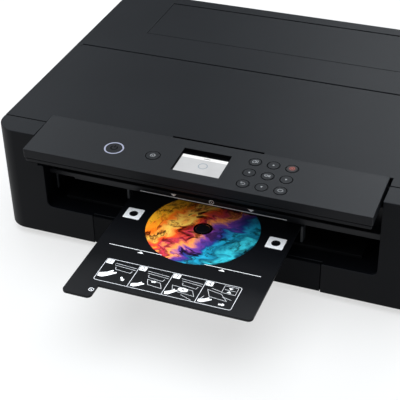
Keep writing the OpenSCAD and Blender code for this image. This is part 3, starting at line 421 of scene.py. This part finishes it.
def pad_ink(name, colour, level=0.3):
    """Opaque printing ink: matt, slightly uneven where it was laid on thin."""
    made, tree, shader = new_material(name)
    place = add_node(tree, "ShaderNodeTexCoord").outputs["Object"]
    thin = add_node(tree, "ShaderNodeTexNoise",
                    {"Vector": place, "Scale": 1000 / INK_BLOTCH_MM, "Detail": 2.0})
    full = linear(colour)
    tint = add_node(tree, "ShaderNodeValToRGB", {"Fac": thin.outputs["Fac"]},
                    stops=[(0.25, tuple(0.88 * c for c in full[:3]) + (1.0,)), (0.6, full)])
    feed(tree, shader, {"Roughness": 0.6, "Specular IOR Level": level,
                        "Base Color": tint.outputs["Color"]})
    return made


def loop_circle(x, y, r, count=32, squash=1.0):
    """A circle, or an ellipse, as a closed loop of points."""
    turns = [2 * math.pi * i / count for i in range(count)]
    return [(x + r * math.cos(t), y + r * squash * math.sin(t)) for t in turns]


def loop_box(x0, y0, x1, y1, r=0.0):
    """A rectangle, with round corners if it has a radius, as a closed loop of points."""
    if r <= 0:
        return [(x0, y0), (x1, y0), (x1, y1), (x0, y1)]
    loop = []
    for cx, cy, start in ((x1 - r, y0 + r, -90), (x1 - r, y1 - r, 0),
                          (x0 + r, y1 - r, 90), (x0 + r, y0 + r, 180)):
        for i in range(CORNER_STEPS + 1):
            t = math.radians(start + 90 * i / CORNER_STEPS)
            loop.append((cx + r * math.cos(t), cy + r * math.sin(t)))
    return loop


def arrow_head(x, base, tip, half):
    """An arrow head that points up or down, as a closed loop of points."""
    return [(x - half, base), (x + half, base), (x, tip)]


def stroke(points, width, closed=False):
    """The outline of a line of even width: one loop, or two for a closed line."""
    spots = [Vector(p) for p in points]
    left_side, right_side = [], []
    for i, spot in enumerate(spots):
        ways = []
        if closed or i > 0:
            ways.append((spot - spots[i - 1]).normalized())
        if closed or i + 1 < len(spots):
            ways.append((spots[(i + 1) % len(spots)] - spot).normalized())
        way = sum(ways, Vector((0.0, 0.0))).normalized()
        reach = 0.5 * width / max(SHARPEST, way.dot(ways[0]))
        left_side.append(spot + reach * Vector((-way.y, way.x)))
        right_side.append(spot - reach * Vector((-way.y, way.x)))
    return [left_side, right_side] if closed else [left_side + right_side[::-1]]


def printed(name, shapes, place, material, body, letters=()):
    """A flat print of filled shapes, given as closed loops in millimetres, and of letters.
    It is drawn as curves, made one mesh and laid in its place."""
    drawn = []
    for loops in shapes:
        curve = bpy.data.curves.new(name, "CURVE")
        curve.dimensions, curve.fill_mode = "2D", "BOTH"
        for loop in loops:
            line = curve.splines.new("POLY")
            line.points.add(len(loop) - 1)
            for point, (x, y) in zip(line.points, loop):
                point.co = (x, y, 0.0, 1.0)
            line.use_cyclic_u = True
        drawn.append(bpy.data.objects.new(name, curve))
    for text, x, y, size in letters:
        words = bpy.data.curves.new(name, "FONT")
        words.body, words.size = text, size
        words.align_x, words.align_y = "CENTER", "CENTER"
        words.offset_x, words.offset_y = x, y
        drawn.append(bpy.data.objects.new(name, words))
    bpy.ops.object.select_all(action="DESELECT")
    for piece in drawn:
        bpy.context.scene.collection.objects.link(piece)
        piece.select_set(True)
    bpy.context.view_layer.objects.active = drawn[0]
    bpy.ops.object.convert(target="MESH")
    if len(drawn) > 1:
        bpy.ops.object.join()
    piece = bpy.context.object
    piece.name = name
    piece.data.transform(place @ Matrix.Scale(MM, 4))
    piece.data.materials.clear()
    piece.data.materials.append(material)
    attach(piece, body)


def cap_place(node, cap_r=KEY_R):
    """The middle of a cap's face, in the panel's slope. The cap's back edge is its highest."""
    low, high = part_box(node)
    middle = (low + high) / 2
    drop = cap_r * MM * math.tan(PANEL_SLOPE)
    return Matrix.Translation((middle.x, middle.y, high.z - drop + INK_LIFT)) @ panel_turn


# Flat, matt inks: pale grey marks, a red mark on a dull red field, and black that barely shows.
pale_ink = pad_ink("pale grey pad ink", "#97989a")
red_ink = pad_ink("red pad ink", "#9c4a40")
dull_red_ink = pad_ink("dull red pad ink", "#24120f")
dark_ink = pad_ink("black pad ink", "#050506", 0.02)
up_head, down_head = arrow_head(0.0, -0.9, 1.1, 1.3), arrow_head(0.0, 0.9, -1.1, 1.3)
key_marks = {
    "key_up": [[up_head]],
    "key_down": [[down_head]],
    "key_left": [[[(y, x) for x, y in down_head]]],
    "key_right": [[[(y, x) for x, y in up_head]]],
    "key_copies": [
        stroke(loop_box(-2.6, -2.0, 0.9, 1.3, 0.5), KEY_LINE, True),
        stroke([(-0.9, 1.3), (-0.9, 2.3), (2.6, 2.3), (2.6, -1.0), (0.9, -1.0)], KEY_LINE)],
    "key_back": [
        stroke([(-2.4, 1.2), (1.2, 1.2), (2.3, 0.3), (2.3, -0.9), (1.2, -1.8), (-1.4, -1.8)],
               KEY_LINE),
        stroke([(-1.2, 2.4), (-2.5, 1.2), (-1.2, 0.0)], KEY_LINE)],
    "key_start": [
        stroke([(-2.9, 0.0), (-1.3, 1.9), (1.3, 1.9), (2.9, 0.0), (1.3, -1.9), (-1.3, -1.9)],
               KEY_LINE, True)],
    "key_stop": [
        stroke(loop_circle(0, 0, STOP_R, count=8), STOP_LINE, True),
        [loop_box(-STOP_HALF, -STOP_HALF, STOP_HALF, STOP_HALF)]],
    "home_key": [
        stroke([(-3.0, 0.0), (0.0, 2.7), (3.0, 0.0)], KEY_LINE),
        [loop_circle(0.0, -0.5, 0.6, COARSE)],
        stroke([(-2.1, 0.5), (-2.1, -2.2), (2.1, -2.2), (2.1, 0.5)], KEY_LINE)],
}
printed("key_stop_field", [[loop_circle(0, 0, STOP_FIELD_R, FINE)]], cap_place("key_stop"),
        dull_red_ink, "press_key_stop")
for node, shapes in key_marks.items():
    ink = red_ink if node == "key_stop" else pale_ink
    cap_r = HOME_R if node == "home_key" else KEY_R
    printed(node + "_mark", shapes, cap_place(node, cap_r) @ lift, ink, "press_" + node)
printed("key_ok_mark", [], cap_place("key_ok"), pale_ink, "press_key_ok",
        letters=[("OK", 0.0, 0.0, OK_SIZE)])
power_turns = [math.radians(turn) for turn in range(40, 321, 20)]
power_arc = [(POWER_MARK_R * math.sin(t), POWER_MARK_R * math.cos(t)) for t in power_turns]
power_bar = [(0, POWER_BAR_LOW), (0, POWER_BAR_TOP)]
printed("power_button_mark", [stroke(power_arc, POWER_LINE), stroke(power_bar, POWER_LINE)],
        cap_place("power_button", POWER_R), dark_ink, "press_power_button")


# Display and light ring
# A lit display is bonded under a clear window with a black border, sunk in the panel's face.
# The ring round the power button is a milky light guide, set in the same face.
SCREEN_MARGIN, SCREEN_MASK, STRIP_HIGH = 1.4, 4.8, 5.0
WINDOW_FACE = 0.55
GLOW_CLOUD_MM = 50 / 3
RING_X, RING_R, RING_LINE = 1.5, 4.6, 0.9
BAR_LEFT, BAR_RIGHT, BAR_TOP, BAR_HIGH = -2.0, 5.0, 2.0, 1.2


def lit(name, colour, strength):
    """A dark screen or light guide that glows evenly behind a satin cover."""
    made, tree, shader = new_material(name)
    place = add_node(tree, "ShaderNodeTexCoord").outputs["Object"]
    cloud = add_node(tree, "ShaderNodeTexNoise",
                     {"Vector": place, "Scale": 1000 / GLOW_CLOUD_MM, "Detail": 2.0})
    full = linear(colour)
    glow = add_node(tree, "ShaderNodeValToRGB", {"Fac": cloud.outputs["Fac"]},
                    stops=[(0.3, tuple(0.93 * c for c in full[:3]) + (1.0,)), (0.65, full)])
    feed(tree, shader, {"Base Color": linear("#141518"), "Roughness": 0.3,
                        "Specular IOR Level": 0.2, "Emission Strength": strength,
                        "Emission Color": glow.outputs["Color"]})
    return made


# A glossy black border, a grey field under a white strip, and a pale blue ring of light.
window_black = moulded_plastic("black window border", "#050506", "#070708", 0.15, 2.0, 0.0, 0.5)
ring_light = lit("light guide, pale blue", "#bcc2dc", 0.85)
field_light = lit("display, grey field", "#d4d5d6", 0.95)
strip_light = lit("display, white strip", "#ffffff", 1.0)
sign_light = lit("display, blue ring", "#a4b2bd", 0.9)
bar_light = lit("display, grey bar", "#a8a8aa", 0.9)
dress("lcd_module", black_abs)
dress("lcd_window", window_black)
dress("power_ring", ring_light)
window_low, window_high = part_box("lcd_window")
half_x = (window_high.x - window_low.x) / 2 / MM - SCREEN_MARGIN
half_y = (window_high.y - window_low.y) / 2 / MM - SCREEN_MARGIN
screen_top = half_y - SCREEN_MASK
screen = (Matrix.Translation((window_low + window_high) / 2) @ panel_turn
          @ Matrix.Translation((0, 0, WINDOW_FACE * MM + INK_LIFT)))
printed("display_field", [[loop_box(-half_x, -half_y, half_x, screen_top)]], screen,
        field_light, "panel")
printed("display_strip", [[loop_box(-half_x, screen_top - STRIP_HIGH, half_x, screen_top)]],
        screen @ lift, strip_light, "panel")
printed("display_ring", [stroke(loop_circle(RING_X, 0.0, RING_R, FINE), RING_LINE, True)],
        screen @ lift, sign_light, "panel")
printed("display_bar", [[loop_box(BAR_LEFT, screen_top - BAR_TOP - BAR_HIGH,
                                  BAR_RIGHT, screen_top - BAR_TOP)]],
        screen @ lift @ lift, bar_light, "panel")


# Guide bar and posts
# The bar across the opening is a black ABS channel; three posts hang from it, two beside the tray.
# A white line, two arrow heads and a disc sign are printed along its lower edge.
LINE_LEFT, LINE_RIGHT, LINE_LOW, LINE_TOP = -78.4, 88.0, 1.7, 2.6
HEADS_X, HEAD_BASE, HEAD_TIP, HEAD_HALF = (-39.3, 48.5), 6.5, 3.3, 3.4
SIGN_X, SIGN_UP, SIGN_R = 4.2, 5.7, 2.5


def disc_sign(x, y, r):
    """A small disc sign: a ring, its hole and two glints."""
    glint = [(0.25 * r, 0.4 * r), (0.5 * r, 0.72 * r)]
    return [stroke(loop_circle(x, y, r), 0.22 * r, True), [loop_circle(x, y, 0.28 * r, COARSE)],
            stroke([(x - across, y + up) for across, up in glint], 0.2 * r),
            stroke([(x + across, y - up) for across, up in glint], 0.2 * r)]


# The bar is a shade lighter than the dark behind it, and the posts are painted lighter still, as
# painted light for the light they catch.
bar_abs = moulded_plastic("black ABS, guide bar", "#131417", "#16171a", 0.48, level=0.25)
lit_post_abs = moulded_plastic("grey ABS, posts, painted light", "#1d1f22", "#232528", 0.5, level=0.25)
# Three whites: plain, thinned to a light grey, and one as bright as ink can be.
screen_ink = pad_ink("white screen ink", "#f4f5f6")
grey_ink = pad_ink("grey screen ink", "#dcdde0")
bright_ink = pad_ink("bright white ink", "#fdfdfd")
soften("guide_bar", bar_abs, 0.5)
# The posts' lighter grey is painted light.
soften("guide_posts", lit_post_abs, 0.4)
bar_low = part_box("guide_bar")[0]
bar_face = (Matrix.Translation((0, bar_low.y - INK_LIFT, bar_low.z))
            @ Matrix.Rotation(math.radians(90), 4, "X"))
bar_signs = [[arrow_head(x, HEAD_BASE, HEAD_TIP, HEAD_HALF)] for x in HEADS_X]
bar_signs += disc_sign(SIGN_X, SIGN_UP, SIGN_R)
printed("guide_bar_line", [[loop_box(LINE_LEFT, LINE_LOW, LINE_RIGHT, LINE_TOP)]], bar_face,
        bright_ink, "casing")
printed("guide_bar_signs", bar_signs, bar_face, bright_ink, "casing")


# Disc tray
# A flat tray of black polycarbonate with a seat for one disc. White squares mark its sensing holes.
# Lines, arrow heads and a strip of four instruction pictures are screen-printed on it in white.
# All places on it are measured from the middle and the front face of the printer.
SQUARE_HALF, SQUARE_CORNER, HOLE_R, HOLE_Y, HOLE_REACH = 9.3, 1.2, 4.8, -15.0, 79.0
MARK_LINES, MARK_LOW, MARK_TOP = ((-72.0, -14.0), (32.0, 91.4)), -71.9, -71.3
TRAY_HEADS_X, TRAY_HEAD_BASE, TRAY_HEAD_TIP = (-35.6, 51.8), -76.2, -73.2
TRAY_SIGN_X, TRAY_SIGN_Y, TRAY_SIGN_R = -57.7, -144.5, 2.4
# Smooth black with a soft gloss.
tray_pc = moulded_plastic("black polycarbonate, tray", "#090a0c", "#0b0c0f", 0.36, level=0.13)
soften("disc_tray", tray_pc, 0.4)
tray_low, tray_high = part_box("disc_tray")
tray_face = Matrix.Translation((0.0, frame_low.y, tray_high.z + INK_LIFT))
tray_x = (tray_low.x + tray_high.x) / 2 / MM
tray_squares = [[loop_box(x - SQUARE_HALF, HOLE_Y - SQUARE_HALF,
                          x + SQUARE_HALF, HOLE_Y + SQUARE_HALF, SQUARE_CORNER),
                 loop_circle(x, HOLE_Y, HOLE_R)]
                for x in (tray_x - HOLE_REACH, tray_x + HOLE_REACH)]
tray_marks = [[loop_box(left, MARK_LOW, right, MARK_TOP)] for left, right in MARK_LINES]
tray_marks += [[arrow_head(x, TRAY_HEAD_BASE, TRAY_HEAD_TIP, HEAD_HALF)] for x in TRAY_HEADS_X]
tray_marks += disc_sign(TRAY_SIGN_X, TRAY_SIGN_Y, TRAY_SIGN_R)
printed("tray_squares", tray_squares, tray_face, screen_ink, "tray")
printed("tray_marks", tray_marks, tray_face, screen_ink, "tray")


# Instruction strip
# Four framed pictures with numbered badges show how the tray and the disc go in.
# They are printed with the tray's other marks, the outlines in thinner ink.
FRAME_LINE, PICTURE_LINE, FRAME_CORNER, FRAME_GAP = 0.55, 0.4, 2.2, 0.4
FRAME_X = (-63.0, -27.0, 9.0, 43.5, 80.0)
FRAME_TOP, FRAME_LOW = -94.0, -129.0
BADGE_MARGIN, BADGE_WIDE, BADGE_HIGH = 0.9, 7.2, 6.5
NUMBER_X, NUMBER_DROP, NUMBER_SIZE = 4.5, 4.2, 7.0
SMALL_DISC, SMALL_DISC_R, SMALL_HOLE_R, SMALL_SQUASH = (26.5, -115.6), 5.2, 1.6, 0.6
HAND = [(0, 0), (5, -0.6), (9, 1.2), (14, 4.6), (18, 7.2), (17.2, 9.0), (12.5, 7.4), (14.5, 10.4),
        (12.8, 11.2), (8.5, 7.6), (3.0, 6.0), (0, 5.4)]
ARROW = [(0, 1.2), (4.4, 1.2), (4.4, 2.6), (7.4, 0), (4.4, -2.6), (4.4, -1.2), (0, -1.2)]


def laid(points, x, y, size, turn):
    """Points scaled, turned and moved to a place on the strip, as a shape of one loop."""
    c, s = math.cos(math.radians(turn)) * size, math.sin(math.radians(turn)) * size
    return [[(x + c * px - s * py, y + s * px + c * py) for px, py in points]]


def thin_line(*points):
    """A thin line through some points."""
    return stroke(points, PICTURE_LINE)


def thin_outline(*points):
    """A thin closed line through some points."""
    return stroke(points, PICTURE_LINE, True)


def opening(x, y, wide):
    """The front opening of the printer in outline."""
    return [thin_line((x, y), (x + wide, y - 1.5)),
            thin_line((x + 1, y - 3), (x + wide, y - 4.6)),
            thin_line((x + 3, y - 5.4), (x + 4.2, y - 9), (x + wide - 4, y - 10.4),
                      (x + wide - 3, y - 7))]


strip_frame = [stroke(loop_box(FRAME_X[0], FRAME_LOW, FRAME_X[-1], FRAME_TOP, FRAME_CORNER),
                      FRAME_LINE, True)]
strip_frame += [stroke([(x, FRAME_LOW + FRAME_GAP), (x, FRAME_TOP - FRAME_GAP)], FRAME_LINE)
                for x in FRAME_X[1:-1]]
badge_top = FRAME_TOP - BADGE_MARGIN
badges = [[loop_box(x + BADGE_MARGIN, badge_top - BADGE_HIGH,
                    x + BADGE_MARGIN + BADGE_WIDE, badge_top, BADGE_MARGIN)]
          for x in FRAME_X[:-1]]
numbers = [(str(i + 1), x + NUMBER_X, FRAME_TOP - NUMBER_DROP, NUMBER_SIZE)
           for i, x in enumerate(FRAME_X[:-1])]

# First a hand at the opening, then the tray going in.
outlines = opening(-52.5, -99.0, 24.5) + opening(-16.5, -100.0, 23.5)
outlines += [thin_outline((-12, -112), (2, -113.5), (6, -121), (-9, -119.5))]
pictures = [laid(HAND, -61.5, -123.0, 1.0, 8), laid(ARROW, -38.0, -117.5, 0.9, -50),
            laid(HAND, -24.5, -126.6, 0.72, 6), laid(ARROW, -7.0, -114.5, 0.7, 18)]

# Third the disc on the tray.
outlines += opening(19.5, -100.0, 22.5)
outlines += [thin_outline((14, -112), (36, -114), (40, -121.5), (17, -119.5)),
             thin_line((27, -123), (39, -127.5))]
pictures += [[loop_circle(*SMALL_DISC, SMALL_DISC_R, squash=SMALL_SQUASH),
              loop_circle(*SMALL_DISC, SMALL_HOLE_R, COARSE, SMALL_SQUASH)],
             laid(HAND, 11.5, -127.0, 0.7, 16)]

# Last the tray at its end mark, with the mark drawn large in a box.
outlines += [thin_line((46, -124), (49, -117)),
             thin_outline((49, -107), (64, -109.5), (72, -118), (54, -116.5)),
             thin_line((52, -104.0), (62, -106.0)), thin_line((66, -113), (76, -115)),
             thin_outline(*loop_box(63.0, -107.0, 77.0, -96.0)),
             thin_line((64.6, -101.6), (75.4, -101.6))]
pictures += [laid(HAND, 45.5, -126.6, 0.72, 4), laid(ARROW, 66.0, -124.4, 0.85, 8),
             [arrow_head(70.0, -98.0, -100.6, 2.4)], [arrow_head(70.0, -105.6, -102.8, 2.4)]]
printed("tray_strip_frame", strip_frame, tray_face, grey_ink, "tray")
printed("tray_strip_outlines", outlines, tray_face, grey_ink, "tray")
printed("tray_strip_pictures", pictures, tray_face, screen_ink, "tray")
printed("tray_strip_badges", badges, tray_face, screen_ink, "tray")
printed("tray_strip_numbers", [], tray_face @ lift, dark_ink, "tray", letters=numbers)


# Disc
# A printable polycarbonate disc. Its printed face carries a made-up pattern of colour ribbons,
# and the clear ring round its hole shows the black tray below.
CLEAR_R, HOLE_EDGE_R = 10.2, 7.6
DRIFT_MM, VEIN_MM, RIBBONS_MM, BEND_MM = 100 / 3, 40 / 3, 125.0, 60.0
RIBBON_TURN, RIBBON_START = math.radians(28), 0.35
RIBBON_COLOURS = ((0.04, "#ffb42a"), (0.15, "#ff6e16"), (0.24, "#ffd05c"), (0.32, "#f4531c"),
                  (0.41, "#c03350"), (0.48, "#ff9a48"), (0.55, "#703c96"), (0.63, "#203078"),
                  (0.70, "#1f9abc"), (0.79, "#0e5e76"), (0.86, "#34b6c6"), (0.95, "#0c4a5c"))
VEIN_COLOURS = ((0.36, "#1c1218"), (0.44, "#b09c98"), (0.52, "#ffffff"))
disc_low, disc_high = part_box("disc")
disc_mid = (disc_low + disc_high) / 2

# Warm ribbons pass into cold ones, bent by a slow drift and broken by dark veins, under a satin ink.
disc_print, tree, shader = new_material("printed disc face")
place = add_node(tree, "ShaderNodeTexCoord").outputs["Object"]
centred = add_node(tree, "ShaderNodeMapping",
                   {"Vector": place, "Location": (-disc_mid.x, -disc_mid.y, 0.0)})
drift = add_node(tree, "ShaderNodeTexNoise",
                 {"Vector": centred.outputs["Vector"], "Scale": 1000 / DRIFT_MM, "Detail": 6.0,
                  "Distortion": 1.6})
bent = add_node(tree, "ShaderNodeVectorMath",
                {0: drift.outputs["Color"], 1: (BEND_MM * MM, BEND_MM * MM, 0.0)},
                operation="MULTIPLY")
moved = add_node(tree, "ShaderNodeVectorMath",
                 {0: centred.outputs["Vector"], 1: bent.outputs["Vector"]}, operation="ADD")
turned = add_node(tree, "ShaderNodeMapping",
                  {"Vector": moved.outputs["Vector"], "Rotation": (0, 0, RIBBON_TURN),
                   "Location": (RIBBON_START, 0, 0),
                   "Scale": (1000 / RIBBONS_MM, 1000 / RIBBONS_MM, 1.0)})
across = add_node(tree, "ShaderNodeSeparateXYZ", {"Vector": turned.outputs["Vector"]})
ribbons = add_node(tree, "ShaderNodeValToRGB", {"Fac": across.outputs["X"]},
                   stops=[(at, linear(colour)) for at, colour in RIBBON_COLOURS])
veins = add_node(tree, "ShaderNodeTexNoise",
                 {"Vector": moved.outputs["Vector"], "Scale": 1000 / VEIN_MM, "Detail": 7.0,
                  "Roughness": 0.6, "Distortion": 0.8})
shade = add_node(tree, "ShaderNodeValToRGB", {"Fac": veins.outputs["Fac"]},
                 stops=[(at, linear(colour)) for at, colour in VEIN_COLOURS])
inked = add_node(tree, "ShaderNodeMix",
                 {0: 1.0, 6: ribbons.outputs["Color"], 7: shade.outputs["Color"]},
                 data_type="RGBA", blend_type="MULTIPLY")
feed(tree, shader, {"Roughness": 0.35, "Specular IOR Level": 0.2, "Base Color": inked.outputs[2]})
soften("disc", disc_print, 0.2)
clear_ring = [loop_circle(0.0, 0.0, r, FINE) for r in (CLEAR_R, HOLE_EDGE_R)]
disc_face = Matrix.Translation((disc_mid.x, disc_mid.y, disc_high.z + INK_LIFT))
printed("disc_clear_ring", [clear_ring], disc_face, dark_ink, "tray")


# Output tray and cassette
# Both are black ABS mouldings; the output tray hides a pull-out extension.
# The cassette's front plate closes the front frame below the opening.

# The cassette is the darkest of the plastics and hardly shines: a blacker plastic, darkened further
# as painted shade under the tray.
shaded_cassette_abs = moulded_plastic("black ABS, cassette, painted shade", "#040507", "#06070a", 0.5, level=0.05)
soften("output_tray", black_abs, 0.4)
soften("output_extension", black_abs, 0.3)
# Part of the cassette's darkness is painted shade from the tray above it.
soften("paper_cassette", shaded_cassette_abs, 0.6)
for guide in ("cassette_guide_left", "cassette_guide_right", "cassette_end_guide"):
    soften(guide, black_abs, 0.4)


# Floor, lights and camera
# A plain pale floor under soft studio light, seen from the photograph's point of view.
# Five large soft boxes stand round it, with their places in metres and their power in watts.
FLOOR_SIZE = 12.0
COOL_WHITE = (0.92, 0.96, 1.0)
WORLD_STRENGTH = 0.3


def softbox(name, place, aim, width, height, power):
    """A soft area light that faces a point."""
    data = bpy.data.lights.new(name, "AREA")
    data.shape, data.size, data.size_y, data.energy = "RECTANGLE", width, height, power
    data.color = COOL_WHITE
    light = bpy.data.objects.new(name, data)
    bpy.context.scene.collection.objects.link(light)
    light.visible_camera = False
    light.location = place
    light.rotation_euler = (Vector(aim) - Vector(place)).to_track_quat("-Z", "Y").to_euler()


bpy.ops.mesh.primitive_plane_add(size=FLOOR_SIZE, location=(0, 0, 0))
floor = bpy.context.object
floor.name = "floor"
# Matt paint, which glows a little, as a white sweep that is lit from all round does.
floor_white, tree, shader = new_material("matt white floor")
feed(tree, shader, {"Base Color": linear("#7e7e7d"), "Roughness": 0.9,
                    "Emission Color": linear("#ffffff"), "Emission Strength": 0.62})
floor.data.materials.append(floor_white)

world = bpy.data.worlds.new("studio")
bpy.context.scene.world = world
world.use_nodes = True
feed(world.node_tree, world.node_tree.nodes["Background"],
     {"Color": COOL_WHITE + (1.0,), "Strength": WORLD_STRENGTH})
softbox("overhead", (0.0, -0.5, 2.4), (0.0, -0.5, 0.0), 3.0, 3.2, 124)
softbox("back right", (0.15, 2.2, 1.75), (0.1, 0.0, 0.1), 1.3, 1.1, 26)
softbox("back left", (-1.6, 1.7, 1.5), (-0.1, 0.0, 0.1), 0.8, 0.9, 6)
softbox("left", (-2.2, -0.7, 0.9), (-0.2, -0.1, 0.07), 1.2, 1.2, 18)
softbox("right", (2.2, -0.7, 0.9), (0.2, -0.1, 0.07), 1.2, 1.2, 10)

# The camera's place in millimetres, how far it turns left, dips and rolls in degrees, and its lens.
EYE = Vector((354.784, -989.297, 759.040))
EYE_TURN, EYE_DIP, EYE_ROLL = 21.917, 35.1815, -1.5684
FILM_MM, LENS_MM = 36.0, 100.3
SHIFT_ACROSS, SHIFT_UP = 0.0005, 0.0147
lens = bpy.data.cameras.new("camera")
camera = bpy.data.objects.new("camera", lens)
bpy.context.scene.collection.objects.link(camera)
camera.matrix_world = (Matrix.Translation(EYE * MM)
                       @ Matrix.Rotation(math.radians(EYE_TURN), 4, "Z")
                       @ Matrix.Rotation(math.radians(90 - EYE_DIP), 4, "X")
                       @ Matrix.Rotation(math.radians(EYE_ROLL), 4, "Z"))
lens.sensor_width, lens.lens = FILM_MM, LENS_MM
lens.shift_x, lens.shift_y = SHIFT_ACROSS, SHIFT_UP
bpy.context.scene.camera = camera
bpy.context.scene.view_settings.view_transform = "Standard"
